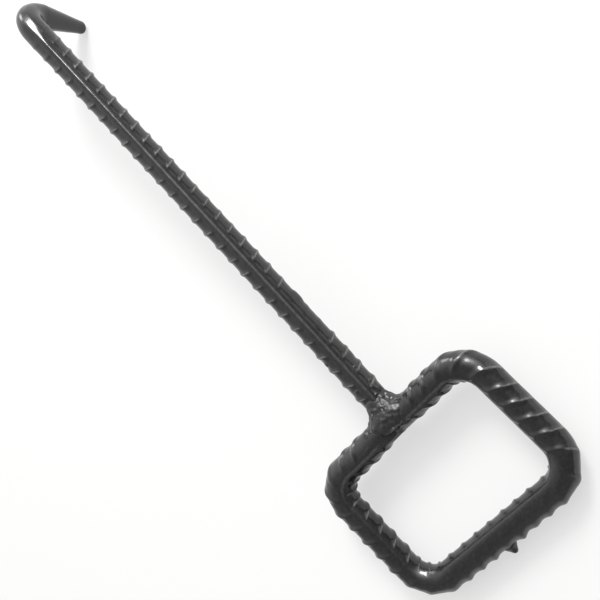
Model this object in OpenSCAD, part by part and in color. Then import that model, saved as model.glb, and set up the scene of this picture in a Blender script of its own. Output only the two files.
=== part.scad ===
// Manhole cover lifter: a hooked shank of ribbed bar, welded to a handle bent from the same bar.
// The part lies on its hook point and its grip. X runs from the handle to the hook, and Z is up.

/* [Bar] */
// Diameter of the round core of the bar, without its ribs
core_d = 15.2; // [10:0.1:24]
// Height of the cross ribs over the core, at the middle of their crescent
rib_h = 1.1; // [0.4:0.1:1.8]
// Distance from one cross rib to the next along the bar
rib_pitch = 11; // [8:0.5:18]
// Width of a cross rib at its foot
rib_foot_w = 3.4; // [2:0.1:5]
// Width of a cross rib along its crest
rib_crest_w = 1.2; // [0.4:0.1:1.8]
// Distance along the bar that a cross rib leans over, from the front seam rib to the back one
rib_lean = 11.6; // [4:0.2:16]
// Height of the two seam ribs that run along the bar
seam_h = 0.9; // [0.3:0.1:1.6]
// Width of a seam rib at its foot
seam_foot_w = 3.8; // [2.4:0.1:5]
// Width of a seam rib along its top
seam_top_w = 1.7; // [0.6:0.1:2.2]

/* [Shank] */
// Length from the middle of the handle's bar to the start of the hook's bend
shank_l = 328; // [200:1:600]
// Plain length of the shank, from the end of the weld to the nearest point of its first cross rib
shank_plain_l = 0.4; // [0.2:0.1:20]
// Angle of the shank's seam rib, from the handle's upper face towards its front side
shank_seam_turn = 25; // [0:1:60]

/* [Hook] */
// Radius of the hook's bend, at the middle of the bar
hook_bend_r = 15.4; // [12:0.5:24]
// Angle that the hook is bent through
hook_turn = 104; // [95:1:130]
// Diameter of the smooth forged bend
hook_d = 16.2; // [10:0.1:22]
// Length of the tapered point, after the bend
hook_point_l = 29.7; // [15:0.5:50]
// Diameter of the rounded end of the point
hook_end_d = 8.7; // [4:0.1:10]
// Length over which the cross ribs fade out towards the bend
hook_fade_l = 30; // [15:1:60]

/* [Handle] */
// Width of the handle, from bar middle to bar middle
handle_w = 119.6; // [90:0.5:180]
// Depth of the handle, from bar middle to bar middle
handle_l = 82.5; // [70:0.5:140]
// Radius of the handle's corners, at the middle of the bar
handle_corner_r = 18.9; // [15:0.1:28]
// Angle of the seam rib towards the inside of the loop, on the side that the shank meets
shank_side_turn = 20; // [0:1:60]
// The same angle on the back side of the loop
back_side_turn = 32; // [0:1:60]
// The same angle on the grip
grip_turn = 32; // [0:1:60]
// The same angle on the front side of the loop
front_side_turn = 54; // [0:1:70]
// Thickness of the paint that ran down and set on the grip
grip_paint = 0.8; // [0:0.1:1.5]

/* [Welds] */
// Gap between the two ends of the handle's bar, which the closing weld fills
closing_gap = 3; // [2:0.2:6]
// Height of the closing weld's crown over the bar
closing_crown = 0.3; // [0.2:0.1:0.8]
// Leg of the weld fillets on both sides of the shank
weld_leg = 7.2; // [5:0.1:9]
// Gap between the end of the shank and the handle's bar, which the welds fill
root_gap = 1.6; // [1:0.1:3]
// Width of the upper and lower weld runs
run_w = 23; // [18:0.5:28]
// Distance that those runs lap past the middle of the handle's bar
run_lap = 3; // [1:0.5:5]
// Height of the upper and lower weld runs over the bars
run_crown = 1.5; // [1:0.1:2.4]
// Thickness of the fillets on both sides of the shank
fillet_h = 11.5; // [6:0.5:15]
// Diameter of the weld's spatter beads
spatter_d = 1.6; // [0.8:0.1:2.4]

/* [Paint drip] */
// Length of the drip of paint on the outer side of the grip
drip_l = 3.6; // [2:0.1:6]
// Diameter of the drip at its root
drip_root_d = 4.6; // [3:0.1:6]
// Diameter of the drip's rounded end
drip_end_d = 2.4; // [1:0.1:2.8]

/* [Hidden] */
$fn = 64;
paint_black = "#2c2c2e";
weld_black = "#343436";

// Clearance between a weld or a drop of paint and the bar that it sits on
seat_fit = 0.05;
// Overrun of the cuts
overrun = 5;
// Fullness of a cross rib's crescent: 1 is a plain sine, and less is fuller
crescent_power = 0.6;
// Steps of the bar's section along each flank, and of the smooth bend, point and rounded end
flank_steps = 8;
bend_steps = 12;
point_steps = 4;
end_steps = 5;
// Places of the spatter beads on the shank: rib gap, share of the pitch, degrees from the seam rib
spatter_shares = [[0, 0.46, 48], [0, 0.56, -38], [1, 0.42, 62], [1, 0.55, 36], [2, 0.5, -66]];

core_r = core_d / 2;
hook_r = hook_d / 2;
hook_end_r = hook_end_d / 2;
grip_core_r = core_r + grip_paint;
half_w = handle_w / 2;
seam_top_turn = seam_top_w / 2 / core_r * 180 / PI;
seam_foot_turn = seam_foot_w / 2 / core_r * 180 / PI;
// The welds cover the bars next to the joint, and the bars have no ribs there
weld_reach = core_r + weld_leg;
handle_plain_l = weld_reach + rib_foot_w;
shank_end = core_r + root_gap;
shank_first_rib = weld_reach + shank_plain_l + (rib_foot_w + rib_lean) / 2;

// Section of the bar: angles from the front seam rib, once round
flank_turn = (180 - 2 * seam_foot_turn) / flank_steps;
half_turns = concat([0, seam_top_turn], [for (i = [0:flank_steps]) seam_foot_turn + i * flank_turn],
    [180 - seam_top_turn]);
section_turns = concat(half_turns, [180], [for (i = [len(half_turns) - 1:-1:1]) -half_turns[i]]);

// Height of a seam rib and of a cross rib's crest, at an angle from the front seam rib
function seam_rise(turn) = min(abs(turn), 180 - abs(turn)) <= seam_top_turn ? seam_h : 0;
function crest_rise(turn) = rib_h * pow(abs(sin(turn)), crescent_power);
// Distance along the bar that a cross rib has run at that angle, from the middle of its lean
function lean_at(turn) = rib_lean * (abs(turn) / 180 - 1 / 2);
// Radius of the bar there, with shares of the full cross rib and seam rib
function bar_radius(core, turn, crest_share, seam_share) =
    core + max(seam_rise(turn) * seam_share, crest_rise(turn) * crest_share);
// The rings that make a cross rib and the gap before it, each with its place and its share of the crest
function rib_rings(place, crest_share) = [[place - rib_foot_w / 2, 0], [place - rib_crest_w / 2, crest_share],
    [place + rib_crest_w / 2, crest_share], [place + rib_foot_w / 2, 0]];
function gap_ring(place) = [place - rib_pitch / 2, 0];
function flatten(lists) = [for (list = lists) each list];
function between(first, second, share) = first + (second - first) * share;

// Solid through rings of points, each ring in order clockwise or, if turned, the other way
module ring_solid(rings, turned) {
    n = len(rings[0]);
    last = len(rings) - 1;
    first_cap = [for (j = [0:n - 1]) j];
    last_cap = [for (j = [n - 1:-1:0]) last * n + j];
    sides = [for (k = [0:last - 1], j = [0:n - 1])
        let (a = k * n + j, b = k * n + (j + 1) % n, c = b + n, d = a + n)
        each [[d, c, b], [d, b, a]]];
    faces = concat([first_cap, last_cap], sides);
    backward_faces = [for (face = faces) [for (j = [len(face) - 1:-1:0]) face[j]]];
    polyhedron(flatten(rings), turned ? backward_faces : faces);
}

// Shank: its middle line runs along X from the joint, and then down and back round the hook's bend
bend_l = hook_bend_r * hook_turn * PI / 180;
point_start = shank_l + bend_l;
shank_tip = point_start + hook_point_l;
function bend_at(s) = min(max(s - shank_l, 0), bend_l) / bend_l * hook_turn;
function shank_along(s) = [cos(bend_at(s)), 0, -sin(bend_at(s))];
function shank_up(s) = [sin(bend_at(s)), 0, cos(bend_at(s))];
function shank_middle(s) = [min(s, shank_l), 0, -hook_bend_r]
    + hook_bend_r * shank_up(s) + max(s - point_start, 0) * shank_along(s);
function shank_out(s, turn) = cos(turn + shank_seam_turn) * shank_up(s)
    - sin(turn + shank_seam_turn) * [0, 1, 0];

// Places of the shank's cross ribs, which fade out towards the bend
shank_ribs = [for (place = shank_first_rib; place < shank_l - rib_pitch / 2; place = place + rib_pitch)
    place];
smooth_start = shank_ribs[len(shank_ribs) - 1] + rib_foot_w / 2;
function shank_crest_share(s) = min(1, (shank_l - s) / hook_fade_l);
// The rings lean, and the seam ribs stand, from the weld on, and both run out on the way into the bend
function shank_lean_share(s) = s <= weld_reach ? 0 : max(0, 1 - max(0, s - smooth_start) / (2 * rib_lean));
function shank_seam_share(s) = s <= weld_reach ? 0
    : max(0, 1 - max(0, s - smooth_start) / (point_start - smooth_start));
function forged_share(s) = min(1, max(0, s - smooth_start) / (shank_l + bend_l / 2 - smooth_start));
function shank_core(s) = s <= point_start ? between(core_r, hook_r, forged_share(s))
    : between(hook_r, hook_end_r, (s - point_start) / hook_point_l);
function shank_ring(s, crest_share) = [for (turn = section_turns)
    let (place = s + lean_at(turn) * shank_lean_share(s))
    shank_middle(place) + shank_out(place, turn)
        * bar_radius(shank_core(s), turn, crest_share, shank_seam_share(s))];
// The rounded end of the point is a half ball
function end_ring(share) = [for (turn = section_turns) shank_middle(shank_tip)
    + hook_end_r * (sin(90 * share) * shank_along(shank_tip) + cos(90 * share) * shank_out(shank_tip, turn))];

shank_rings = concat(
    [shank_ring(shank_end, 0), shank_ring(weld_reach, 0)],
    [for (rib = shank_ribs, ring = rib_rings(rib, shank_crest_share(rib))) shank_ring(ring[0], ring[1])],
    [for (i = [1:bend_steps]) shank_ring(between(smooth_start, point_start, i / bend_steps), 0)],
    [for (i = [1:point_steps]) shank_ring(between(point_start, shank_tip, i / point_steps), 0)],
    [for (i = [1:end_steps]) end_ring(i / (end_steps + 1 / 2))]);

// Handle: its middle line runs once round the loop from one end of the bar to the other,
// in straight stretches with a quarter turn after each but the last
corner_l = handle_corner_r * PI / 2;
shank_side_l = half_w - handle_corner_r - closing_gap / 2;
side_l = handle_l - 2 * handle_corner_r;
grip_l = handle_w - 2 * handle_corner_r;
stretches = [shank_side_l, corner_l, side_l, corner_l, grip_l, corner_l, side_l, corner_l, shank_side_l];
stretch_starts = [for (i = 0, s = 0; i < len(stretches); s = s + stretches[i], i = i + 1) s];
stretch_seams = [shank_side_turn, back_side_turn, grip_turn, front_side_turn, shank_side_turn];
handle_bar_l = stretch_starts[8] + shank_side_l;
grip_middle = handle_bar_l / 2;
corner_x = [-handle_corner_r, handle_corner_r - handle_l, handle_corner_r - handle_l, -handle_corner_r];
corner_y = (half_w - handle_corner_r) * [1, 1, -1, -1];
function stretch_at(s) = max(0, len([for (start = stretch_starts) if (start < s) start]) - 1);
function stretch_share(s, i) = (s - stretch_starts[i]) / stretches[i];
// Heading is the angle in plan of the loop's outward side
function heading_at(s, i) = 45 * (i - i % 2) + (i % 2) * 90 * stretch_share(s, i);
function outward(heading) = [cos(heading), sin(heading), 0];
function onward(heading) = [-sin(heading), cos(heading), 0];
function corner_middle(k) = [corner_x[k], corner_y[k], 0];
function straight_start(i) = i == 0 ? [0, closing_gap / 2, 0]
    : corner_middle(i / 2 - 1) + handle_corner_r * outward(45 * i);
function handle_middle(s, i) = i % 2 == 0
    ? straight_start(i) + (s - stretch_starts[i]) * onward(45 * i)
    : corner_middle((i - 1) / 2) + handle_corner_r * outward(heading_at(s, i));
function seam_turn_at(s, i) = i % 2 == 0 ? stretch_seams[i / 2]
    : between(stretch_seams[(i - 1) / 2], stretch_seams[(i + 1) / 2], stretch_share(s, i));
function handle_out(turn, heading) = cos(turn) * [0, 0, 1] - sin(turn) * outward(heading);
// Paint thickens evenly from the shank's side of the loop down to the grip
function handle_core(middle) = core_r + grip_paint * max(0, min(1, -middle[0] / handle_l));

// Cross ribs are counted from the middle of the grip, where one carries the drip of paint
drip_turn = 90 + grip_turn;
drip_rib = grip_middle + lean_at(drip_turn);
rib_reach = floor((grip_middle - handle_plain_l - rib_lean / 2 - lean_at(drip_turn)) / rib_pitch);
handle_ribs = [for (k = [-rib_reach:rib_reach]) drip_rib + k * rib_pitch];
// A ring leans, and has its seam ribs, where the bar is ribbed
function handle_ring(s, crest_share, ribbed_share) = [for (turn = section_turns)
    let (place = s - lean_at(turn) * ribbed_share,
        i = stretch_at(place),
        middle = handle_middle(place, i),
        seam = seam_turn_at(place, i))
    middle + handle_out(turn + seam, heading_at(place, i))
        * bar_radius(handle_core(middle), turn, crest_share, ribbed_share)];
handle_rings = concat(
    [for (s = [0, weld_reach]) handle_ring(s, 0, 0)],
    [for (rib = handle_ribs, ring = concat(rib > handle_ribs[0] ? [gap_ring(rib)] : [], rib_rings(rib, 1)))
        handle_ring(ring[0], ring[1], 1)],
    [for (s = [handle_bar_l - weld_reach, handle_bar_l]) handle_ring(s, 0, 0)]);

// The part lies on the grip's lowest ribs and on the round end of the hook
grip_rest_r = grip_core_r + crest_rise(180 - grip_turn);
tip_middle = shank_middle(shank_tip);
rest_span = norm([tip_middle[0] + handle_l, tip_middle[2]]);
lay_turn = asin(-tip_middle[2] / rest_span) - asin((grip_rest_r - hook_end_r) / rest_span);
lift = grip_rest_r + handle_l * sin(lay_turn);
drip_seat_r = grip_core_r + crest_rise(drip_turn);
handle_reach = (handle_l + drip_seat_r + drip_l) * cos(lay_turn);
hook_reach = shank_l * cos(lay_turn) + hook_bend_r * sin(lay_turn) + hook_bend_r + hook_r;

// Lays the part down from the handle's own plane, with the origin under the middle of its box
module laid() {
    translate([(handle_reach - hook_reach) / 2, 0, lift])
        rotate([0, -lay_turn, 0])
            children();
}

module shank_bar() {
    color(paint_black)
        laid()
            ring_solid(shank_rings, false);
}

module handle_bar() {
    color(paint_black)
        laid()
            ring_solid(handle_rings, true);
}

// Weld metal between the two ends of the handle's bar, crowned all round
module closing_weld_shape(grow) {
    crown_r = (pow(closing_gap / 2, 2) + pow(closing_crown, 2)) / (2 * closing_crown) + grow;
    rotate([90, 0, 0])
        rotate_extrude()
            intersection() {
                translate([0, -closing_gap / 2])
                    square([core_r + closing_crown + grow, closing_gap]);
                union() {
                    translate([0, -closing_gap / 2])
                        square([core_r, closing_gap]);
                    translate([core_r + closing_crown + grow - crown_r, 0])
                        circle(crown_r);
                }
            }
}

module closing_weld() {
    color(weld_black)
        laid()
            closing_weld_shape(0);
}

// The bars and the closing weld, which the joint's welds lie against
module joint_bars() {
    translate([shank_end, 0, 0])
        rotate([0, 90, 0])
            cylinder(h = weld_reach, r = core_r + seat_fit);
    rotate([90, 0, 0])
        cylinder(h = 2 * weld_reach + overrun, r = core_r + seat_fit, center = true);
    closing_weld_shape(seat_fit);
}

// A hollow fillet all round the shank, from behind the middle of the handle's bar
module fillet_ring() {
    rotate([0, 90, 0])
        translate([0, 0, -run_lap])
            rotate_extrude()
                difference() {
                    square([weld_reach, run_lap + weld_reach]);
                    translate([weld_reach, run_lap + weld_reach])
                        circle(weld_leg);
                }
}

// A weld run over the joint: a low dome over the notch between the bars, on the upper side or the lower
module weld_run(side) {
    crown_z = core_r + run_crown;
    dome_h = crown_z - fillet_h / 2;
    dome_r = (pow(run_w / 2, 2) + pow(dome_h, 2)) / (2 * dome_h);
    trim = 2 * (dome_r + overrun);
    color(weld_black)
        laid()
            rotate([side, 0, 0])
                difference() {
                    intersection() {
                        fillet_ring();
                        translate([core_r, 0, crown_z - dome_r])
                            sphere(dome_r);
                    }
                    translate([core_r - trim / 2, -trim / 2, fillet_h / 2 - trim])
                        cube(trim);
                    joint_bars();
                }
}

// A weld fillet beside the shank, between the two runs
module fillet_weld(side) {
    color(weld_black)
        laid()
            rotate([side, 0, 0])
                difference() {
                    intersection() {
                        fillet_ring();
                        translate([0, 0, -fillet_h / 2])
                            cube([weld_reach, weld_reach, fillet_h]);
                    }
                    joint_bars();
                }
}

module upper_weld_run() {
    weld_run(0);
}

module lower_weld_run() {
    weld_run(180);
}

module front_fillet_weld() {
    fillet_weld(180);
}

module back_fillet_weld() {
    fillet_weld(0);
}

module weld_spatter() {
    color(weld_black)
        laid()
            for (bead = spatter_shares)
                let (s = shank_ribs[bead[0]] + lean_at(bead[2]) + bead[1] * rib_pitch)
                    translate(shank_middle(s) + (core_r + spatter_d / 2) * shank_out(s, bead[2]))
                        sphere(d = spatter_d);
}

// Drop of paint that hung from a rib of the grip and set there, with its root cut to the rib's crest
module paint_drip() {
    root_depth = drip_root_d / 4;
    body_l = root_depth + drip_l - drip_end_d / 2;
    color(paint_black)
        laid()
            translate([-handle_l, 0, 0])
                difference() {
                    rotate([0, -90, 0])
                        translate([0, 0, drip_seat_r - root_depth]) {
                            cylinder(h = body_l, d1 = drip_root_d, d2 = drip_end_d);
                            translate([0, 0, body_l])
                                sphere(d = drip_end_d);
                        }
                    rotate([90, 0, 0])
                        cylinder(h = 2 * drip_root_d, r = drip_seat_r + seat_fit, center = true);
                }
}

shank_bar();
handle_bar();
closing_weld();
upper_weld_run();
lower_weld_run();
front_fillet_weld();
back_fillet_weld();
weld_spatter();
paint_drip();
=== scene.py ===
"""Looks of a manhole cover lifter: ribbed steel bar, bent and welded, dipped in gloss black paint."""

import math

import bmesh
import bpy
from mathutils import Matrix, Vector, noise


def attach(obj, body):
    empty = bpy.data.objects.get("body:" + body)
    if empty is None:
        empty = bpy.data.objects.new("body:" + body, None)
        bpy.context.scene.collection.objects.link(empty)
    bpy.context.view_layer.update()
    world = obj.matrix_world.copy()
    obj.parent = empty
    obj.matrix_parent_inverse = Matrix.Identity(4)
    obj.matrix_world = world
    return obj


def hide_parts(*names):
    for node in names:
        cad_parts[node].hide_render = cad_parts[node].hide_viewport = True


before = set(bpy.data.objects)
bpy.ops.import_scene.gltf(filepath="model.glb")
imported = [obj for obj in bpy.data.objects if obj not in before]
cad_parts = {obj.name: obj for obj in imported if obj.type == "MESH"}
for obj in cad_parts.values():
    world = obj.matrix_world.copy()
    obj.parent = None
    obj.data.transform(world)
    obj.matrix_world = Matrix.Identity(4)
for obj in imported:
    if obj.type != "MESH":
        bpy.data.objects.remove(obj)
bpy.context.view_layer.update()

# Units: lengths are in millimetres until a mesh is finished. Vertices closer than MERGE become one
MM = 0.001
MERGE = 0.0005

# Bar: round core, two seam ribs along it and crescent cross ribs that lean from seam to seam
CORE_R = 7.6
RIB_H = 1.1
RIB_PITCH = 11.0
RIB_LEAN = 11.6
RIB_HALF_W = 1.95
CREST_R = 0.45
FOOT_FILL = 0.2
CRESCENT_POWER = 0.6
SEAM_H = 1.2
SEAM_TOP_R = 0.35
SEAM_FOOT_W = 6.6
SEAM_POWER = 1.25
RIB_MEET_POWER = 4

# Shank and hook
SHANK_L = 328.0
SHANK_END = 9.2
SHANK_FIRST_RIB = 22.7
SHANK_SEAM_TURN = math.radians(25)
HOOK_BEND_R = 15.4
HOOK_TURN = math.radians(104)
HOOK_R = 8.1
FORGED_FROM = 300.0
FORGED_L = 26.0
HOOK_POINT_L = 29.7
HOOK_END_R = 4.35
HOOK_FADE_L = 30.0
# The point was sheared off: a blunt, slanting end with rounded edges
TIP_L = 3.3
TIP_SLANT = 0.34
TIP_POWER = 0.55
# Flat that the bending tool left over the hook, on the front of its seam
FLAT_TURN = math.radians(10)
FLAT_HALF = math.radians(13)
FLAT_FROM = 315.0
FLAT_IN_L = 12.0
FLAT_TO = 352.0
FLAT_OUT_L = 14.0
# The shank's seam ribs run out as the bend starts
SEAM_STOP = 313.0
SEAM_STOP_L = 20.0

# Handle
HANDLE_W = 119.6
HANDLE_L = 82.5
CORNER_R = 18.9
# Turn of the seam rib from the top towards the hand opening, on each side
SHANK_SIDE_TURN = math.radians(26)
BACK_SIDE_TURN = math.radians(32)
GRIP_TURN = math.radians(32)
FRONT_SIDE_TURN = math.radians(62)
# Height of the handle's seam ribs as a share of the shank's, and shares of that on two of its sides
HANDLE_SEAM_SHARE = 0.45
FRONT_SEAM_SHARE = 0.5
GRIP_SEAM_SHARE = 1.15
GRIP_PAINT = 0.8
CLOSING_GAP = 3.0
# The welds cover the bars this far from the middle of the joint, and ribs that face them start there
WELD_REACH = 14.8
# Rolled rows: ribs on one side of the seam ribs are out of step with the other side's by these lengths.
# The handle's bar has others near its ends, and past its back end its inner ribs lean more
INNER_LEAN = 15.0
SHANK_STEP = 3.9
HANDLE_STEP = -4.0
BACK_END_STEP = -3.3
BACK_END_STEP_L = 45.0
FRONT_END_STEP = -4.8
FRONT_END_STEP_L = 35.0
STEP_BLEND = math.radians(14)
# Ribs of the handle's shank side, by their distance from the ends of its bar, and those of the rest,
# by their distance from the drip's place
BACK_END_RIBS = (14.0, 24.6, 35.3, 45.8, 56.2, 66.5)
FRONT_END_RIBS = (11.7, 22.5, 32.9, 43.9)
BACK_RIBS = (110.0, 99.0, 88.0, 77.0, 66.5, 56.0, 45.4, 34.4, 23.4, 12.4, 1.4)
FRONT_RIBS = (9.3, 18.6, 28.3, 39.1, 51.2, 63.4, 74.2, 85.0, 95.6, 106.1, 117.2, 128.8)
HANDLE_RIB_GAIN = 1.05
HANDLE_COAT = 0.2
# Hand bending: the loop is a little skew, its back half leans in and spreads, and its grip sits a bit in
SKEW = 0.037
SKEW_START_L = 30.0
BACK_LEAN = 0.85
BACK_LEAN_L = 30.0
BACK_SPREAD = 0.3
BACK_SPREAD_L = 60.0
GRIP_IN = 0.3
# Corners that are squarer or rounder than the rest: side along X, side along Y, and how far they stand out
CORNERS = ((0, 1, 1.3), (0, -1, 1.1), (-1, -1, -0.9))
CORNER_SPREAD = 26.0
# The bar is a little thicker along the shank side, and more so towards its back
SWELL_FRONT = 0.2
SWELL_BACK = 0.45
SWELL_L = 60.0

# Ribs start and stop over these lengths, and their lean grows from each bar's end. The handle's seam ribs
# start at SEAM_START from the ends of its bar
RIB_START_L = 4.0
LEAN_START_L = 18.0
SEAM_START_L = 3.0
SEAM_START = 9.0
RIB_FOOT_L = 3.0
RIB_RUNOUT_L = 6.0
LAST_RIB_FOOT = 1.7

# Paint drip under the grip, and its outline: distance from its rib, and share of its root's diameter
DRIP_L = 3.6
DRIP_ROOT_D = 4.6
DRIP_OUTLINE = (
    (-1.8, 0.95), (-0.9, 0.86), (-0.2, 0.75), (0.4, 0.65), (1.0, 0.56), (1.7, 0.47), (2.3, 0.4),
    (2.8, 0.33), (3.2, 0.24), (3.45, 0.14), (DRIP_L, 0.0),
)
DRIP_CUTS = 2
DRIP_COLUMNS = 32

# Coat: no two ribs are painted to the same height, and the dried film is not quite even
COAT_T = 0.25
RIB_SPREAD = 0.12
CREST_LUMP_L = 3.4
CREST_SPREAD = 0.1
COAT_LUMP_L = 6.0
COAT_LUMP_H = 0.06
COAT_GRAIN_L = 2.1
COAT_GRAIN_H = 0.02
# Where in the noise each bar reads its luck
SHANK_LUCK_AT = 0.37
HANDLE_LUCK_AT = 0.63
# Worn stretches of the shank's front ribs: from, to, share of the height and share of the pale line left,
# the pale line being partly rubbed paint and partly a painted highlight
WORN_AND_SHEEN = ((60.0, 95.0, 0.3, 0.0), (95.0, 104.0, 0.65, 1.0), (138.0, 178.0, 0.65, 1.0))
# Steel that the rolls smeared along the shank's front edge: place, half length and height
SMEARS = ((89.5, 4.2, 0.9), (45.6, 3.4, 0.5))
SMEAR_TURN = math.radians(78)
SMEAR_HALF = math.radians(42)
SMEAR_POWER = 4
# Pale line along ridges, partly paint rubbed thin and partly a painted highlight: half width of the line
# and its soft edge, from which share of a rib's height it starts and is full, how strong it is on the seam
# ribs and how far it runs along the shank's, how strong it is on the handle's shank side, and how far
# outward on the handle it starts
RUB_AND_SHEEN_W = 0.8
RUB_AND_SHEEN_SOFT = 0.5
RUB_AND_SHEEN_FROM = 0.3
RUB_AND_SHEEN_FULL = 0.55
SHANK_SEAM_SHEEN = 0.3
SHANK_SEAM_SHEEN_TO = 180.0
SHANK_SEAM_SHEEN_L = 60.0
HANDLE_SEAM_RUB_AND_SHEEN = 0.55
SHANK_SIDE_RUB_AND_SHEEN = 0.6
RUB_AND_SHEEN_OUTER = 0.45
RUB_AND_SHEEN_OUTER_SOFT = 0.25
# Inner ribs of the handle's back side get a painted highlight between these turns from their seam rib
INNER_SHEEN_FROM = math.radians(10)
INNER_SHEEN_TO = math.radians(50)
INNER_SHEEN_SOFT = math.radians(12)
# The grip hung lowest while the paint dried: it pooled below, filled the ribs on top, made their outer ends
# taller and wider, and sagged by the drip
GRIP_TOP_PAINT = 0.5
GRIP_SHARE_POWER = 6
GRIP_FILL = 0.75
GRIP_OUTER_PAINT = 0.05
GRIP_OUTER_GAIN = 0.45
GRIP_OUTER_WIDEN = 0.6
SAG = 0.9
SAG_AT = 7.5
SAG_L = 6.0
# Smooth patch with a pit that the hanging wire left, in the handle's inner corner at the grip's back end
WIRE_MARK = Vector((-73.5, 49.3, 6.3))
WIRE_PIT_R = 1.2
WIRE_PIT_DEEP = 0.22
WIRE_MARK_CLEAR = 8.0
WIRE_MARK_AT = 133.0
WIRE_MARK_SPAN = 9.0
WIRE_MARK_RINGS = 36

# Welds: a hollow bead rounds the corner between the bars, and its lumps dip under their skin at its edge
WELD_BLEND = 10.0
WELD_ROOT = 1.3
WELD_FALL = 2.6
WELD_LUMP_L = 2.8
WELD_LUMP_H = 0.55
WELD_RIPPLE_L = 1.7
WELD_RIPPLE_H = 0.18
WELD_STEP = 0.5
WELD_HALVINGS = 7
WELD_SUBDIVISIONS = 6
WELD_SMOOTH = 0.5
# Runs over and under the joint, and fillets in its corners: where they grow from, half sizes and crown
RUN_SEAT_Z = 7.9
RUN_HALF = Vector((12.5, 15.5, 9.0))
RUN_CROWN = 1.2
FILLET_OUT = 1.2
FILLET_SEAT = CORE_R + FILLET_OUT
FILLET_HALF = Vector((12.0, 12.5, 9.5))
FILLET_CROWN = 0.5
# Bead that closes the handle's bar: its crown, its lap over both ends and how deep its edges lie
CLOSING_CROWN = 0.45
CLOSING_LAP = 0.6
CLOSING_EDGE = 0.3
CLOSING_STEPS = 10
CLOSING_COLUMNS = 120

# Splashes of weld metal: balls that sank as they froze, flared below the waist and a little lumpy
SPLASH_WAIST = 0.6
SPLASH_FLARE = 0.9
SPLASH_FLAT = 0.42
SPLASH_LUMP = 0.25
SPLASH_LUMP_SCALE = 1.3
SPLASH_SEAT_R = CORE_R + COAT_T
SPLASH_SUBDIVISIONS = 3
# Spatter beads on the shank, all of one diameter: rib gap, share of the pitch, degrees from the seam
SPATTER_D = 2.4
SPATTER = ((0, 0.46, 48), (0, 0.56, -38), (1, 0.42, 62), (1, 0.55, 36), (2, 0.5, -66))
# Splashes nearer the welds: place along the shank or the handle's bar, degrees from the top, diameter
SHANK_SPLASHES = (
    (30.5, 8, 2.2), (21.7, 56, 2.64), (17.3, 41, 2.2), (13.6, 56, 3.3), (24.5, 86, 2.86), (19.0, 82, 3.3),
)
HANDLE_SPLASHES = (
    (-15.4, 52, 3.08), (-16.4, 2, 1.98), (-0.8, -10, 2.2), (17.3, 47, 3.74), (12.9, 52, 3.96),
    (-21.9, 62, 2.42),
)

# Rings of a bar's mesh over each rib, as shares of half a pitch from its crest
SIDE_SHARES = (0.06, 0.13, 0.22, 0.33, 0.46, 0.62, 0.8)
RING_SHARES = (-1.0,) + tuple(-share for share in SIDE_SHARES) + (0.0,) + SIDE_SHARES
# Columns of the mesh round the bar, and rings of its plain stretches
COLUMNS = 96
BEND_RINGS = 60
POINT_RINGS = 30
TIP_RINGS = 12


def between(first, second, share):
    return first + (second - first) * share


def clamp(value):
    return max(0.0, min(1.0, value))


def ease(share):
    share = clamp(share)
    return share * share * (3 - 2 * share)


# Rib rules, the same for both bars. A turn is the angle round the bar from its upper seam rib
def lean_at(turn):
    return RIB_LEAN * (abs(turn) / math.pi - 0.5)


def from_seam(turn):
    """Angle to the nearer of a bar's two seam ribs."""
    return min(abs(turn), math.pi - abs(turn))


def crest_rise(turn):
    return RIB_H * abs(math.sin(turn)) ** CRESCENT_POWER


def seam_rise(turn):
    arc = CORE_R * from_seam(turn)
    fall = 2 * (math.hypot(arc, SEAM_TOP_R) - SEAM_TOP_R) / SEAM_FOOT_W
    return SEAM_H * (1 - clamp(fall)) ** SEAM_POWER


def rib_share(distance):
    """Share of a rib's height at a distance from its crest: flat flanks, a round crest and a filled foot."""
    left = 1 - (math.hypot(distance, CREST_R) - CREST_R) / RIB_HALF_W
    return (left + math.hypot(left, FOOT_FILL)) / 2


def rib_luck(place, turn, luck_at):
    """How one side of one rib came out of the rolls and the paint, against the next rib."""
    side = math.copysign(luck_at, turn)
    return 1 + RIB_SPREAD * noise.noise(Vector((place / CREST_LUMP_L, side, luck_at)))


def rubbed_and_sheen(distance):
    """How pale the ridge line is at a distance from the top of a ridge: rubbed paint and a painted
    highlight.
    """
    return ease((RUB_AND_SHEEN_W - abs(distance)) / RUB_AND_SHEEN_SOFT)


def rubbed_rib_and_sheen(distance, high):
    return rubbed_and_sheen(distance) * ease((high / RIB_H - RUB_AND_SHEEN_FROM) / (RUB_AND_SHEEN_FULL - RUB_AND_SHEEN_FROM))


def rubbed_seam_and_sheen(turn):
    return rubbed_and_sheen(CORE_R * from_seam(turn))


def relief(crest, seam):
    """Height over the core where a cross rib of that height meets a seam rib of that height."""
    power = RIB_MEET_POWER
    return (max(crest, 0) ** power + max(seam, 0) ** power) ** (1 / power)


def coat(point):
    """How far the dried paint stands over an even coat at a point of the bars."""
    lump = COAT_LUMP_H * noise.noise(point / COAT_LUMP_L)
    return lump + COAT_GRAIN_H * noise.noise(point / COAT_GRAIN_L)


def crest_luck(point):
    return 1 + CREST_SPREAD * noise.noise(point / CREST_LUMP_L)


# Shank: along X from the joint, then down and back round the hook's bend
BEND_L = HOOK_BEND_R * HOOK_TURN
POINT_START = SHANK_L + BEND_L
SHANK_TIP = POINT_START + HOOK_POINT_L
SHANK_RIB_COUNT = math.ceil((SHANK_L - RIB_PITCH / 2 - SHANK_FIRST_RIB) / RIB_PITCH)
SHANK_RIBS = [SHANK_FIRST_RIB + k * RIB_PITCH for k in range(SHANK_RIB_COUNT)]
SMOOTH_START = SHANK_RIBS[-1] + LAST_RIB_FOOT


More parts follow.
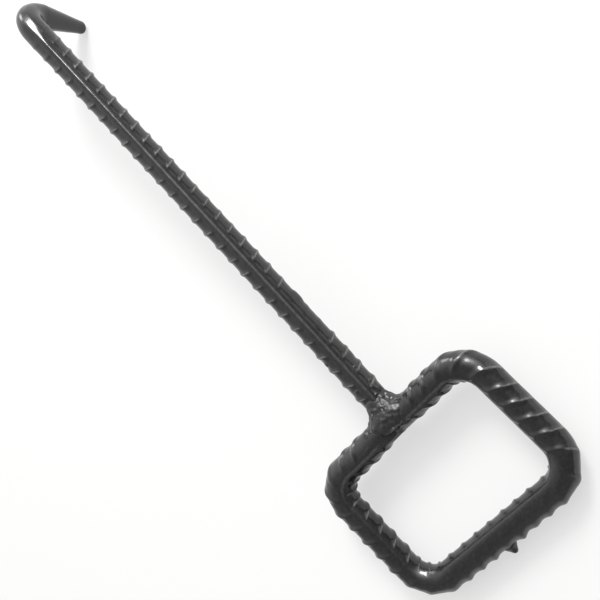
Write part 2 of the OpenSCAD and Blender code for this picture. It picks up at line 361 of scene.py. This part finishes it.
def shank_frame(s):
    """Middle of the shank, its direction and its upper side, at a distance along it."""
    bend = clamp((s - SHANK_L) / BEND_L) * HOOK_TURN
    along = Vector((math.cos(bend), 0, -math.sin(bend)))
    up = Vector((math.sin(bend), 0, math.cos(bend)))
    middle = Vector((min(s, SHANK_L), 0, -HOOK_BEND_R)) + HOOK_BEND_R * up
    return middle + max(s - POINT_START, 0) * along, along, up


def shank_out(up, turn):
    angle = turn + SHANK_SEAM_TURN
    return math.cos(angle) * up - math.sin(angle) * Vector((0, 1, 0))


def shank_core(s):
    if s > POINT_START:
        return between(HOOK_R, HOOK_END_R, clamp((s - POINT_START) / HOOK_POINT_L))
    return between(CORE_R, HOOK_R, ease((s - FORGED_FROM) / FORGED_L))


def shank_tip_point(share, turn):
    """A point of the hook's blunt end, at a share of its length past the end of its cone."""
    angle = clamp(share) * math.pi / 2
    middle, along, up = shank_frame(SHANK_TIP)
    across = HOOK_END_R * math.cos(angle) ** TIP_POWER * shank_out(up, turn)
    reach = TIP_L * math.sin(angle) ** TIP_POWER
    return middle + across + along * (reach - TIP_SLANT * across.dot(up) * reach / TIP_L)


def bend_flat(s, turn):
    """How far the flat over the hook lies below the round of the bar."""
    there = ease((s - FLAT_FROM) / FLAT_IN_L) * ease((FLAT_TO - s) / FLAT_OUT_L)
    off = turn - FLAT_TURN
    if abs(off) > FLAT_HALF:
        return 0.0
    return there * HOOK_R * (1 - math.cos(FLAT_HALF) / math.cos(off))


def row_step(turn):
    """0 on the ribs of one side and 1 on those of the other, with the change under the seam ribs."""
    half = 0.5 * ease(from_seam(turn) / STEP_BLEND)
    return 0.5 + half if turn > 0 else 0.5 - half


def smear(s, turn):
    """Height of the smeared steel at a place along the shank."""
    near = ease(1 - abs(turn - SMEAR_TURN) / SMEAR_HALF)
    return near * sum(high * math.exp(-((s - at) / half) ** SMEAR_POWER) for at, half, high in SMEARS)


def wear_and_sheen(rib, turn):
    """Shares of a rib's height and of its pale ridge line, rubbed paint and painted highlight, left on the
    shank.
    """
    for start, stop, tall, pale in WORN_AND_SHEEN:
        if turn > 0 and start < rib < stop:
            return tall, pale
    return 1.0, 1.0


def shank_point(u, turn):
    """A point of the shank's skin, and how pale its ridge line is there: rubbed paint and a painted
    highlight.
    """
    if u > SHANK_TIP:
        return shank_tip_point((u - SHANK_TIP) / TIP_L, turn), 0.0
    ribbed = ease((u - SHANK_END) / LEAN_START_L) * (1 - clamp((u - SMOOTH_START) / (2 * RIB_LEAN)))
    s = u + (lean_at(turn) + SHANK_STEP * row_step(turn)) * ribbed
    middle, along, up = shank_frame(s)
    out = shank_out(up, turn)
    skin = middle + out * (shank_core(u) + COAT_T * ribbed - bend_flat(u, turn))
    rib = min(SHANK_RIBS, key=lambda place: abs(place - u))
    high = (crest_rise(turn) - COAT_T) * clamp((SHANK_L - rib) / HOOK_FADE_L)
    high *= rib_luck(rib, turn, SHANK_LUCK_AT) * crest_luck(skin)
    tall, pale = wear_and_sheen(rib, turn)
    crest = high * tall * rib_share(u - rib)
    if u > SMOOTH_START or u < WELD_REACH:
        crest *= 1 - clamp((abs(u - rib) - RIB_FOOT_L) / RIB_RUNOUT_L)
    seam_left = 1 - ease((u - SEAM_STOP) / SEAM_STOP_L)
    seam_left *= ease((u - WELD_REACH) / SEAM_START_L)
    seam = seam_rise(turn) * seam_left
    # Along the shank's seam rib the pale line is a painted highlight, fading out towards the hook
    seam_sheen = SHANK_SEAM_SHEEN * rubbed_seam_and_sheen(turn) * seam_left
    seam_sheen *= 1 - ease((s - SHANK_SEAM_SHEEN_TO) / SHANK_SEAM_SHEEN_L)
    rub_and_sheen = max(pale * rubbed_rib_and_sheen(u - rib, high), seam_sheen)
    return skin + out * (relief(max(crest, smear(s, turn)), seam) + coat(skin)), rub_and_sheen


# Handle: once round the loop from one end of its bar to the other
HALF_W = HANDLE_W / 2
CORNER_L = CORNER_R * math.pi / 2
SHANK_SIDE_L = HALF_W - CORNER_R - CLOSING_GAP / 2
SIDE_L = HANDLE_L - 2 * CORNER_R
GRIP_L = HANDLE_W - 2 * CORNER_R
STRETCHES = (SHANK_SIDE_L, CORNER_L, SIDE_L, CORNER_L, GRIP_L, CORNER_L, SIDE_L, CORNER_L, SHANK_SIDE_L)
SEAM_TURNS = (SHANK_SIDE_TURN, BACK_SIDE_TURN, GRIP_TURN, FRONT_SIDE_TURN, SHANK_SIDE_TURN)
HANDLE_BAR_L = sum(STRETCHES)
DRIP_TURN = math.pi / 2 + GRIP_TURN
DRIP_RIB = HANDLE_BAR_L / 2 + lean_at(DRIP_TURN)
BACK_PLACES = [DRIP_RIB - before for before in BACK_RIBS]
FRONT_PLACES = [DRIP_RIB + after for after in FRONT_RIBS]
FRONT_END_PLACES = [HANDLE_BAR_L - end for end in reversed(FRONT_END_RIBS)]
HANDLE_RIBS = list(BACK_END_RIBS) + BACK_PLACES + FRONT_PLACES + FRONT_END_PLACES


def handle_frame(s):
    """Middle of the handle's bar, the loop's outward side and the seam rib's turn, at a place along it."""
    place = Vector((0, CLOSING_GAP / 2, 0))
    start = 0.0
    for i, length in enumerate(STRETCHES):
        last = i == len(STRETCHES) - 1
        share = (s - start) / length
        heading = (i // 2) * math.pi / 2
        outward = Vector((math.cos(heading), math.sin(heading), 0))
        onward = Vector((-math.sin(heading), math.cos(heading), 0))
        if i % 2 == 0:
            if share <= 1 or last:
                return place + onward * (s - start), outward, SEAM_TURNS[i // 2]
            place = place + onward * length
        else:
            centre = place - CORNER_R * outward
            turned = heading + min(share, 1) * math.pi / 2
            outward = Vector((math.cos(turned), math.sin(turned), 0))
            place = centre + CORNER_R * outward
            if share <= 1:
                return place, outward, between(SEAM_TURNS[i // 2], SEAM_TURNS[i // 2 + 1], share)
        start += length


def hand_bent(point):
    """Where a point of the true loop went in the hand-bent one."""
    across = SKEW * (point.x + HANDLE_L / 2) * ease(abs(point.y) / SKEW_START_L)
    across += BACK_SPREAD * ease(point.y / SKEW_START_L) * clamp(1 + point.x / BACK_SPREAD_L)
    lean = BACK_LEAN * ease(point.y / BACK_LEAN_L) * clamp(1 + point.x / HANDLE_L)
    lean -= GRIP_IN * clamp(-point.x / HANDLE_L) ** GRIP_SHARE_POWER
    bent = point + Vector((-lean, across, 0))
    for side_x, side_y, out in CORNERS:
        near_x = clamp(1 - abs(point.x - side_x * HANDLE_L) / CORNER_SPREAD)
        near_y = clamp(1 - abs(point.y - side_y * HALF_W) / CORNER_SPREAD)
        away = Vector((2 * side_x + 1, side_y, 0)).normalized()
        bent += out * ease(near_x) * ease(near_y) * away
    return bent


def swell(point):
    """How much thicker the handle's bar is at a point of its middle."""
    thicker = between(SWELL_FRONT, SWELL_BACK, ease(0.5 + point.y / SWELL_L))
    return thicker * clamp(1 + point.x / SWELL_L) * ease(abs(point.y) / WELD_REACH - 0.5)


def faces(share):
    """1 where the loop's outward side points straight that way, and 0 from half of that."""
    return ease((share - 0.5) * 2)


def wire_mark(point):
    """Depth of the pit that the hanging wire left, and how far other relief stays clear of it."""
    off = (point - WIRE_MARK).length
    pit = WIRE_PIT_DEEP * math.exp(-(off / WIRE_PIT_R) ** 2)
    return pit, ease(off / WIRE_MARK_CLEAR - 0.5)


def handle_rub_and_sheen(distance, high, turn, outer, outward, seam_left):
    """How pale the line is at a distance from the crest of one of the handle's ribs: rubbed paint and a
    painted highlight.
    """
    shank_side = max(outward.x, 0) ** 2
    front_side = max(-outward.y, 0) ** 2
    back_side = max(outward.y, 0) ** 2
    outer_ribs = rubbed_rib_and_sheen(distance, high) * ease((outer - RUB_AND_SHEEN_OUTER) / RUB_AND_SHEEN_OUTER_SOFT)
    inner_ribs = rubbed_and_sheen(distance) * ease((turn - INNER_SHEEN_FROM) / INNER_SHEEN_SOFT)
    inner_ribs *= ease((INNER_SHEEN_TO - turn) / INNER_SHEEN_SOFT)
    seam = HANDLE_SEAM_RUB_AND_SHEEN * rubbed_seam_and_sheen(turn) * seam_left
    rib = outer_ribs * (SHANK_SIDE_RUB_AND_SHEEN * shank_side + front_side)
    return max(rib, seam * shank_side, inner_ribs * back_side)


def handle_point(u, turn):
    """A point of the handle's skin, and how pale its ridge line is there: rubbed paint and a painted
    highlight.
    """
    end = min(u, HANDLE_BAR_L - u)
    ribbed = ease(end / LEAN_START_L)
    step = between(BACK_END_STEP, HANDLE_STEP, ease(u / BACK_END_STEP_L - 1))
    step = between(FRONT_END_STEP, step, ease((HANDLE_BAR_L - u) / FRONT_END_STEP_L - 1))
    steep = ease(u / BACK_END_STEP_L - 1) * row_step(turn)
    lean = lean_at(turn) * between(1, INNER_LEAN / RIB_LEAN, steep)
    middle, outward, seam_turn = handle_frame(u + (step * row_step(turn) - lean) * ribbed)
    angle = turn + seam_turn
    out = math.cos(angle) * Vector((0, 0, 1)) - math.sin(angle) * outward
    grip_share = clamp(-middle.x / HANDLE_L) ** GRIP_SHARE_POWER
    outer_side = max(0, out.dot(outward))
    paint = between(GRIP_TOP_PAINT + GRIP_OUTER_PAINT * outer_side, GRIP_PAINT, ease(-out.z)) - COAT_T
    skin = middle + out * (CORE_R + HANDLE_COAT + COAT_T * ribbed + paint * grip_share + swell(middle))
    rib = min(HANDLE_RIBS, key=lambda place: abs(place - u))
    high = (HANDLE_RIB_GAIN * crest_rise(turn) - COAT_T) * ribbed
    high *= rib_luck(rib, turn, HANDLE_LUCK_AT) * crest_luck(skin)
    hung = math.exp(-((u - DRIP_RIB - SAG_AT) / SAG_L) ** 2)
    high *= 1 + (SAG * hung + GRIP_OUTER_GAIN) * grip_share * outer_side
    high *= 1 - GRIP_FILL * grip_share * ease(out.z)
    if out.x > 0:
        high *= ease((end - WELD_REACH) / RIB_START_L)
    crest = high * rib_share((u - rib) / (1 + GRIP_OUTER_WIDEN * grip_share * outer_side))
    seam_left = ease((end - SEAM_START) / SEAM_START_L)
    seam = HANDLE_SEAM_SHARE * seam_rise(turn) * seam_left
    seam *= between(1, FRONT_SEAM_SHARE, faces(-outward.y))
    seam *= between(1, GRIP_SEAM_SHARE, faces(-outward.x))
    pit, clear = wire_mark(skin)
    rub_and_sheen = handle_rub_and_sheen(u - rib, high, turn, out.dot(outward), outward, seam_left)
    return hand_bent(skin + out * ((relief(crest, seam) + coat(skin)) * clear - pit)), rub_and_sheen


# Lay: the part lies on the grip's lowest ribs and on the end of the hook
GRIP_R = CORE_R + GRIP_PAINT
DRIP_SEAT_R = GRIP_R + crest_rise(DRIP_TURN)


def lay():
    rest_r = GRIP_R + crest_rise(math.pi - GRIP_TURN)
    tip = shank_frame(SHANK_TIP)[0]
    span = math.hypot(tip.x + HANDLE_L, tip.z)
    turn = math.asin(-tip.z / span) - math.asin((rest_r - HOOK_END_R) / span)
    lift = rest_r + HANDLE_L * math.sin(turn)
    handle_reach = (HANDLE_L + DRIP_SEAT_R + DRIP_L) * math.cos(turn)
    hook_reach = SHANK_L * math.cos(turn) + HOOK_BEND_R * math.sin(turn) + HOOK_BEND_R + HOOK_R
    shift = Matrix.Translation(((handle_reach - hook_reach) / 2, 0, lift))
    return Matrix.Scale(MM, 4) @ shift @ Matrix.Rotation(-turn, 4, "Y")


LAY = lay()


# Materials
def linear(colour):
    """Linear red, green, blue and alpha of an sRGB hex colour."""
    levels = []
    for i in (1, 3, 5):
        share = int(colour[i:i + 2], 16) / 255
        levels.append(share / 12.92 if share <= 0.04045 else ((share + 0.055) / 1.055) ** 2.4)
    return levels + [1]


def per_mm(size):
    """Scale, on Object coordinates in metres, of a pattern whose features are that many mm wide."""
    return 1 / (size * MM)


def add(tree, kind, inputs, **settings):
    """Adds a node with its settings; an input is a value, or the socket that feeds it."""
    node = tree.nodes.new(kind)
    for name, value in settings.items():
        setattr(node, name, value)
    for key, value in inputs.items():
        if isinstance(value, bpy.types.NodeSocket):
            tree.links.new(value, node.inputs[key])
        else:
            node.inputs[key].default_value = value
    return node


# Colour sockets of a Mix node: the layer below, the layer over it and the result
MIX_BELOW = 6
MIX_OVER = 7
MIX_RESULT = 2

# Fine dust in the film, a pale ridge line that is partly paint rubbed thin and partly a painted highlight,
# and pale flecks on the welds that are painted glints: colour, feature size, and the levels of the noise
# between which they come in
DUST = "#262626"
DUST_L = 1.5
DUST_LEVELS = (0.45, 0.75)
RUB_AND_SHEEN = "rub_and_sheen"
RUBBED_AND_SHEEN = "#626262"
RUBBED_AND_SHEEN_LEVELS = (0.3, 0.55)
RUBBED_AND_SHEEN_LEAST = 0.4
PAINTED_GLINT = "#8a8a8a"
PAINTED_GLINT_L = 2.3
PAINTED_GLINT_LEVELS = (0.73, 0.84)
HAZE_LEVELS = (0.35, 0.65)
PAINT_IOR = 1.6


def black_paint(name, dark, pale, patch, haze, rough, peel, peel_h, grain, grain_h, painted_glints):
    """Gloss black alkyd enamel: tone in patches, gloss in a finer haze, and the ripple of a dipped coat."""
    material = bpy.data.materials.new(name)
    material.use_nodes = True
    tree = material.node_tree
    tree.nodes.clear()
    place = add(tree, "ShaderNodeTexCoord", {}).outputs["Object"]
    tone = add(tree, "ShaderNodeTexNoise", {"Vector": place, "Scale": per_mm(patch), "Detail": 3.0})
    dust = add(tree, "ShaderNodeTexNoise", {"Vector": place, "Scale": per_mm(DUST_L), "Detail": 2.0})
    dusty = add(tree, "ShaderNodeMapRange", {
        "Value": dust.outputs["Fac"], "From Min": DUST_LEVELS[0], "From Max": DUST_LEVELS[1],
    })
    # Weld paint gets pale flecks that are painted glints
    if painted_glints:
        spots = add(tree, "ShaderNodeTexNoise", {"Vector": place, "Scale": per_mm(PAINTED_GLINT_L), "Detail": 0.0})
        marks = add(tree, "ShaderNodeMapRange", {
            "Value": spots.outputs["Fac"], "From Min": PAINTED_GLINT_LEVELS[0], "From Max": PAINTED_GLINT_LEVELS[1],
        })
    else:
        # Pale ridge line from the mesh: partly paint rubbed thin, partly a painted highlight
        thin_paint_and_sheen = add(tree, "ShaderNodeAttribute", {}, attribute_name=RUB_AND_SHEEN).outputs["Fac"]
        patchy = add(tree, "ShaderNodeMapRange", {
            "Value": dust.outputs["Fac"], "From Min": RUBBED_AND_SHEEN_LEVELS[0], "From Max": RUBBED_AND_SHEEN_LEVELS[1],
            "To Min": RUBBED_AND_SHEEN_LEAST,
        })
        marks = add(tree, "ShaderNodeMath", {0: thin_paint_and_sheen, 1: patchy.outputs[0]}, operation="MULTIPLY")
    marked = PAINTED_GLINT if painted_glints else RUBBED_AND_SHEEN
    colour = linear(dark)
    for share, over in ((tone.outputs["Fac"], pale), (dusty.outputs[0], DUST), (marks.outputs[0], marked)):
        layers = {0: share, MIX_BELOW: colour, MIX_OVER: linear(over)}
        colour = add(tree, "ShaderNodeMix", layers, data_type="RGBA").outputs[MIX_RESULT]
    dull = add(tree, "ShaderNodeTexNoise", {"Vector": place, "Scale": per_mm(haze), "Detail": 2.0})
    gloss = add(tree, "ShaderNodeMapRange", {
        "Value": dull.outputs["Fac"], "From Min": HAZE_LEVELS[0], "From Max": HAZE_LEVELS[1],
        "To Min": rough[0], "To Max": rough[1],
    })
    skin = add(tree, "ShaderNodeTexNoise", {"Vector": place, "Scale": per_mm(peel), "Detail": 1.0})
    grit = add(tree, "ShaderNodeTexNoise", {"Vector": place, "Scale": per_mm(grain), "Detail": 1.0})
    fine = add(tree, "ShaderNodeBump", {
        "Height": grit.outputs["Fac"], "Strength": 1.0, "Distance": grain_h * MM,
    })
    bump = add(tree, "ShaderNodeBump", {
        "Height": skin.outputs["Fac"], "Strength": 1.0, "Distance": peel_h * MM,
        "Normal": fine.outputs["Normal"],
    })
    shader = add(tree, "ShaderNodeBsdfPrincipled", {
        "Base Color": colour, "Roughness": gloss.outputs[0], "IOR": PAINT_IOR,
        "Normal": bump.outputs["Normal"],
    })
    add(tree, "ShaderNodeOutputMaterial", {"Surface": shader.outputs[0]})
    return material


# Rolled bar under dipped enamel: near-black, with broad soft reflections broken by a slight ripple, and a
# pale line along each ridge that is partly paint rubbed thin and partly a painted highlight
BLACK_ENAMEL = black_paint(
    "gloss_black_enamel_dipped", dark="#101010", pale="#1d1d1d", patch=16, haze=5, rough=(0.15, 0.27),
    peel=3.2, peel_h=0.03, grain=0.9, grain_h=0.01, painted_glints=False,
)
# Stick weld under the same enamel: duller over lumps and pits, with a few pale flecks that are painted
# glints
PAINTED_WELD = black_paint(
    "gloss_black_enamel_over_weld", dark="#101010", pale="#1d1d1d", patch=5, haze=2.5, rough=(0.34, 0.5),
    peel=2.0, peel_h=0.05, grain=0.8, grain_h=0.015, painted_glints=True,
)
FINISHES = {"black_enamel": BLACK_ENAMEL, "painted_weld": PAINTED_WELD}


# Meshes
def stations(ribs, first, last, extra=()):
    """Places of a bar's rings from first to last, closer together over each rib's crest."""
    half = RIB_PITCH / 2
    places = [rib + half * share for rib in ribs for share in RING_SHARES] + list(extra)
    places = [place for place in places if first < place < last]
    return [first] + sorted(places) + [last]


def finished(name, mesh, finish, *nodes):
    """Turns a mesh in the tool's own plane into a laid, smooth piece that stands for CAD nodes."""
    bmesh.ops.remove_doubles(mesh, verts=mesh.verts, dist=MERGE)
    bmesh.ops.recalc_face_normals(mesh, faces=mesh.faces)
    bmesh.ops.transform(mesh, matrix=LAY, verts=mesh.verts)
    data = bpy.data.meshes.new(name)
    mesh.to_mesh(data)
    mesh.free()
    data.shade_smooth()
    data.materials.append(FINISHES[finish])
    piece = bpy.data.objects.new(name, data)
    bpy.context.scene.collection.objects.link(piece)
    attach(piece, "root")
    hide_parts(*nodes)


def close(mesh):
    """Closes the open ends of a mesh."""
    bmesh.ops.holes_fill(mesh, edges=[edge for edge in mesh.edges if edge.is_boundary])


def rolled_bar(rings, point):
    """A sheet of one ring per station, rolled up along a bar's own rule and closed at both ends."""
    mesh = bmesh.new()
    rub_and_sheen = mesh.verts.layers.float.new(RUB_AND_SHEEN)
    bmesh.ops.create_grid(mesh, x_segments=len(rings) - 1, y_segments=COLUMNS, size=1)
    for vert in mesh.verts:
        ring = round((vert.co.x + 1) / 2 * (len(rings) - 1))
        turn = vert.co.y * math.pi
        vert.co, vert[rub_and_sheen] = point(rings[ring], turn)
    bmesh.ops.remove_doubles(mesh, verts=mesh.verts, dist=MERGE)
    close(mesh)
    return mesh


def shank():
    rings = stations(SHANK_RIBS, SHANK_END, SMOOTH_START)
    rings += [between(SMOOTH_START, POINT_START, i / BEND_RINGS) for i in range(1, BEND_RINGS + 1)]
    rings += [between(POINT_START, SHANK_TIP, i / POINT_RINGS) for i in range(1, POINT_RINGS + 1)]
    rings += [SHANK_TIP + TIP_L * i / TIP_RINGS for i in range(1, TIP_RINGS)]
    finished("shank", rolled_bar(rings, shank_point), "black_enamel", "shank_bar")


def handle():
    first_mark = WIRE_MARK_AT - WIRE_MARK_SPAN
    marks = [first_mark + 2 * WIRE_MARK_SPAN * i / WIRE_MARK_RINGS for i in range(WIRE_MARK_RINGS + 1)]
    rings = stations(HANDLE_RIBS, 0.0, HANDLE_BAR_L, marks)
    finished("handle", rolled_bar(rings, handle_point), "black_enamel", "handle_bar")


# Welds of the joint
def steel_gaps(point):
    """Distances of a point from the round of the shank and from the round of the handle's bar."""
    shank_gap = max(math.hypot(point.y, point.z) - CORE_R, -point.x)
    return shank_gap, math.hypot(point.x, point.z) - CORE_R


def bead_skin(shank_gap, handle_gap):
    """One distance from both bars, with a hollow bead round the corner between them."""
    share = clamp(0.5 + (handle_gap - shank_gap) / (2 * WELD_BLEND))
    return between(handle_gap, shank_gap, share) - WELD_BLEND * share * (1 - share)


def weld_lump(point):
    """How far the lumps and ripples of weld metal stand out at a point."""
    lump = WELD_LUMP_H * noise.noise(point / WELD_LUMP_L)
    return lump + WELD_RIPPLE_H * noise.noise(point / WELD_RIPPLE_L)


def in_bead(point, seat, half, crown):
    """Whether a point is in the bead about that seat, with half sizes and a crown over the hollow."""
    shank_gap, handle_gap = steel_gaps(point)
    if min(shank_gap, handle_gap) < -WELD_ROOT:
        return False
    off = point - seat
    spread = (off.x / half.x) ** 2 + (off.y / half.y) ** 2 + (off.z / half.z) ** 2
    return bead_skin(shank_gap, handle_gap) < crown + weld_lump(point) - WELD_FALL * spread * spread


def weld_bead(name, node, seat, half, crown):
    """A ball that grew from its seat out to the bead's own skin."""
    mesh = bmesh.new()
    bmesh.ops.create_icosphere(mesh, subdivisions=WELD_SUBDIVISIONS, radius=1)
    for vert in mesh.verts:
        ray = vert.co.normalized()
        reach = 0.0
        while in_bead(seat + ray * (reach + WELD_STEP), seat, half, crown):
            reach += WELD_STEP
        step = WELD_STEP
        for _ in range(WELD_HALVINGS):
            step /= 2
            if in_bead(seat + ray * (reach + step), seat, half, crown):
                reach += step
        vert.co = seat + ray * reach
    bmesh.ops.smooth_vert(
        mesh, verts=mesh.verts, factor=WELD_SMOOTH, use_axis_x=True, use_axis_y=True, use_axis_z=True,
    )
    finished(name, mesh, "painted_weld", node)


def weld_beads():
    for side, run in ((1, "upper"), (-1, "lower")):
        seat = Vector((CORE_R, 0, side * RUN_SEAT_Z))
        weld_bead(f"{run}_bead", f"{run}_weld_run", seat, RUN_HALF, RUN_CROWN)
    for side, corner in ((-1, "front"), (1, "back")):
        seat = Vector((FILLET_SEAT, side * FILLET_SEAT, 0))
        weld_bead(f"{corner}_bead", f"{corner}_fillet_weld", seat, FILLET_HALF, FILLET_CROWN)


def closing_bead():
    """The bead that closes the handle's bar: a crowned ring with the lumps of a weld."""
    mesh = bmesh.new()
    half = CLOSING_GAP / 2 + CLOSING_LAP
    rim = []
    for i in range(CLOSING_STEPS + 1):
        across = between(-half, half, i / CLOSING_STEPS)
        rise = CLOSING_CROWN - (CLOSING_CROWN + CLOSING_EDGE) * (across / half) ** 2
        rim.append(mesh.verts.new((CORE_R + rise, across, 0)))
    edges = [mesh.edges.new(pair) for pair in zip(rim, rim[1:])]
    bmesh.ops.spin(
        mesh, geom=rim + edges, axis=(0, 1, 0), cent=(0, 0, 0), angle=2 * math.pi, steps=CLOSING_COLUMNS,
        use_merge=True,
    )
    for vert in mesh.verts:
        out = Vector((vert.co.x, 0, vert.co.z)).normalized()
        vert.co += out * weld_lump(vert.co) * (1 - (vert.co.y / half) ** 2)
    close(mesh)
    finished("closing_bead", mesh, "painted_weld", "closing_weld")


def splash(mesh, seat, out, size):
    """A bead of weld metal that froze on the bar: a sunk ball with a flared foot."""
    turned = out.to_track_quat("Z", "Y").to_matrix().to_4x4()
    place = Matrix.Translation(seat) @ turned @ Matrix.Scale(size / 2, 4)
    new = bmesh.ops.create_icosphere(mesh, subdivisions=SPLASH_SUBDIVISIONS, radius=1)["verts"]
    for vert in new:
        low = clamp(SPLASH_WAIST - vert.co.z)
        flare = 1 + SPLASH_FLARE * low * low
        lump = 1 + SPLASH_LUMP * noise.noise(vert.co * SPLASH_LUMP_SCALE + seat)
        vert.co = Vector((vert.co.x * flare, vert.co.y * flare, vert.co.z * SPLASH_FLAT)) * lump
    bmesh.ops.transform(mesh, matrix=place, verts=new)


def spatter():
    mesh = bmesh.new()
    for gap, share, degrees in SPATTER:
        turn = math.radians(degrees)
        s = SHANK_RIBS[gap] + lean_at(turn) + share * RIB_PITCH
        middle, along, up = shank_frame(s)
        out = shank_out(up, turn)
        splash(mesh, middle + SPLASH_SEAT_R * out, out, SPATTER_D)
    for x, degrees, size in SHANK_SPLASHES:
        angle = math.radians(degrees)
        out = Vector((0, -math.sin(angle), math.cos(angle)))
        splash(mesh, Vector((x, 0, 0)) + SPLASH_SEAT_R * out, out, size)
    for y, degrees, size in HANDLE_SPLASHES:
        angle = math.radians(degrees)
        out = Vector((math.sin(angle), 0, math.cos(angle)))
        splash(mesh, Vector((0, y, 0)) + SPLASH_SEAT_R * out, out, size)
    finished("weld_spatter_beads", mesh, "painted_weld", "weld_spatter")


def drip():
    """A drop of paint that hung from a rib of the grip: a flared root, a waist and a round end."""
    mesh = bmesh.new()
    line = [mesh.verts.new((-DRIP_SEAT_R - along, 0, width * DRIP_ROOT_D)) for along, width in DRIP_OUTLINE]
    edges = [mesh.edges.new(pair) for pair in zip(line, line[1:])]
    bmesh.ops.subdivide_edges(mesh, edges=edges, cuts=DRIP_CUTS, smooth=1.0)
    bmesh.ops.spin(
        mesh, geom=mesh.verts[:] + mesh.edges[:], axis=(1, 0, 0), cent=(0, 0, 0), angle=2 * math.pi,
        steps=DRIP_COLUMNS, use_merge=True,
    )
    bmesh.ops.remove_doubles(mesh, verts=mesh.verts, dist=MERGE)
    close(mesh)
    bmesh.ops.translate(mesh, vec=(-HANDLE_L, 0, 0), verts=mesh.verts)
    finished("hanging_drip", mesh, "black_enamel", "paint_drip")


# Stage: a white card floor, whose share of plain white shows where it is seen
FLOOR_HALF = 6.0
FLOOR_COLOUR = "#e6e6e5"
FLOOR_WHITE = 0.58
WHITE = "#ffffff"
# Room: a dim level and soft lobes over it, each with its way, its power and its peak
ROOM_DIM = 0.3
ROOM_LOBES = (
    ((0.8, 0.54, 0.27), 2.5, 0.95),
    ((0.604, -0.49, 0.643), 10.0, 2.9),
    ((-0.82, 0.47, 0.32), 4.0, 0.2),
)
# Lamps, a key in front of the hook's end and a lower one beyond it: azimuth from X towards Y, elevation,
# distance, width, height, radiance
LAMPS = {
    "key_soft_box": (-37.3, 37.5, 1.5, 0.4, 0.48, 24.0),
    "end_soft_box": (3, 17, 1.5, 0.42, 0.48, 5.0),
}
# Watts of an area lamp for each square metre and each unit of radiance
AREA_WATTS = 4


def floor():
    mesh = bmesh.new()
    bmesh.ops.create_grid(mesh, x_segments=1, y_segments=1, size=FLOOR_HALF)
    data = bpy.data.meshes.new("floor")
    mesh.to_mesh(data)
    mesh.free()
    # Matt white card: it looks near white where it is seen, and still takes the part's shadow
    card = bpy.data.materials.new("matt_white_card")
    card.use_nodes = True
    tree = card.node_tree
    tree.nodes.clear()
    path = add(tree, "ShaderNodeLightPath", {})
    seen = 0.0
    for ray in ("Is Camera Ray", "Is Glossy Ray", "Is Transmission Ray"):
        seen = add(tree, "ShaderNodeMath", {0: path.outputs[ray], 1: seen}, use_clamp=True).outputs[0]
    share = add(tree, "ShaderNodeMath", {0: seen, 1: FLOOR_WHITE}, operation="MULTIPLY")
    matt = add(tree, "ShaderNodeBsdfDiffuse", {"Color": linear(FLOOR_COLOUR)})
    glow = add(tree, "ShaderNodeEmission", {"Color": linear(WHITE), "Strength": 1.0})
    mix = add(tree, "ShaderNodeMixShader", {0: share.outputs[0], 1: matt.outputs[0], 2: glow.outputs[0]})
    add(tree, "ShaderNodeOutputMaterial", {"Surface": mix.outputs[0]})
    data.materials.append(card)
    ground = bpy.data.objects.new("floor", data)
    bpy.context.scene.collection.objects.link(ground)


def room():
    """A dim room that grows softly brighter towards the middle of each lobe."""
    world = bpy.data.worlds.new("room")
    world.use_nodes = True
    tree = world.node_tree
    tree.nodes.clear()
    way = add(tree, "ShaderNodeTexCoord", {}).outputs["Generated"]
    level = ROOM_DIM
    for towards, power, peak in ROOM_LOBES:
        facing = add(tree, "ShaderNodeVectorMath", {0: way, 1: towards}, operation="DOT_PRODUCT")
        ahead = add(tree, "ShaderNodeMath", {0: facing.outputs["Value"], 1: 0.0}, operation="MAXIMUM")
        lobe = add(tree, "ShaderNodeMath", {0: ahead.outputs[0], 1: power}, operation="POWER")
        lit = add(tree, "ShaderNodeMath", {0: lobe.outputs[0], 1: peak, 2: level}, operation="MULTIPLY_ADD")
        level = lit.outputs[0]
    wall = add(tree, "ShaderNodeBackground", {"Color": linear(WHITE), "Strength": level})
    add(tree, "ShaderNodeOutputWorld", {"Surface": wall.outputs[0]})
    bpy.context.scene.world = world


def lamp(name, azimuth, elevation, away, width, height, level):
    """A soft box of that radiance, aimed at the middle of the part."""
    round_z = math.radians(azimuth)
    up = math.radians(elevation)
    towards = Vector((math.cos(up) * math.cos(round_z), math.cos(up) * math.sin(round_z), math.sin(up)))
    data = bpy.data.lights.new(name, "AREA")
    data.shape = "RECTANGLE"
    data.size = width
    data.size_y = height
    data.energy = AREA_WATTS * width * height * level
    light = bpy.data.objects.new(name, data)
    bpy.context.scene.collection.objects.link(light)
    aim = (-towards).to_track_quat("-Z", "Y").to_matrix().to_4x4()
    light.matrix_world = Matrix.Translation(towards * away) @ aim


# Camera: the photograph's place, aim and roll
CAMERA_PLACE = Vector((-198.53, -257.62, 482.0)) * MM
CAMERA_AIM = Vector((-33.45, 6.83, 0)) * MM
CAMERA_ROLL = math.radians(102.35)
SENSOR = 36.0
LENS = 57.0


def camera():
    data = bpy.data.cameras.new("camera")
    data.sensor_width = SENSOR
    data.lens = LENS
    view = bpy.data.objects.new("camera", data)
    bpy.context.scene.collection.objects.link(view)
    aim = (CAMERA_AIM - CAMERA_PLACE).to_track_quat("-Z", "Y").to_matrix().to_4x4()
    view.matrix_world = Matrix.Translation(CAMERA_PLACE) @ aim @ Matrix.Rotation(-CAMERA_ROLL, 4, "Z")
    bpy.context.scene.camera = view


bpy.context.scene.view_settings.view_transform = "Standard"
camera()
floor()
room()
for name, setting in LAMPS.items():
    lamp(name, *setting)

shank()
handle()
closing_bead()
weld_beads()
spatter()
drip()
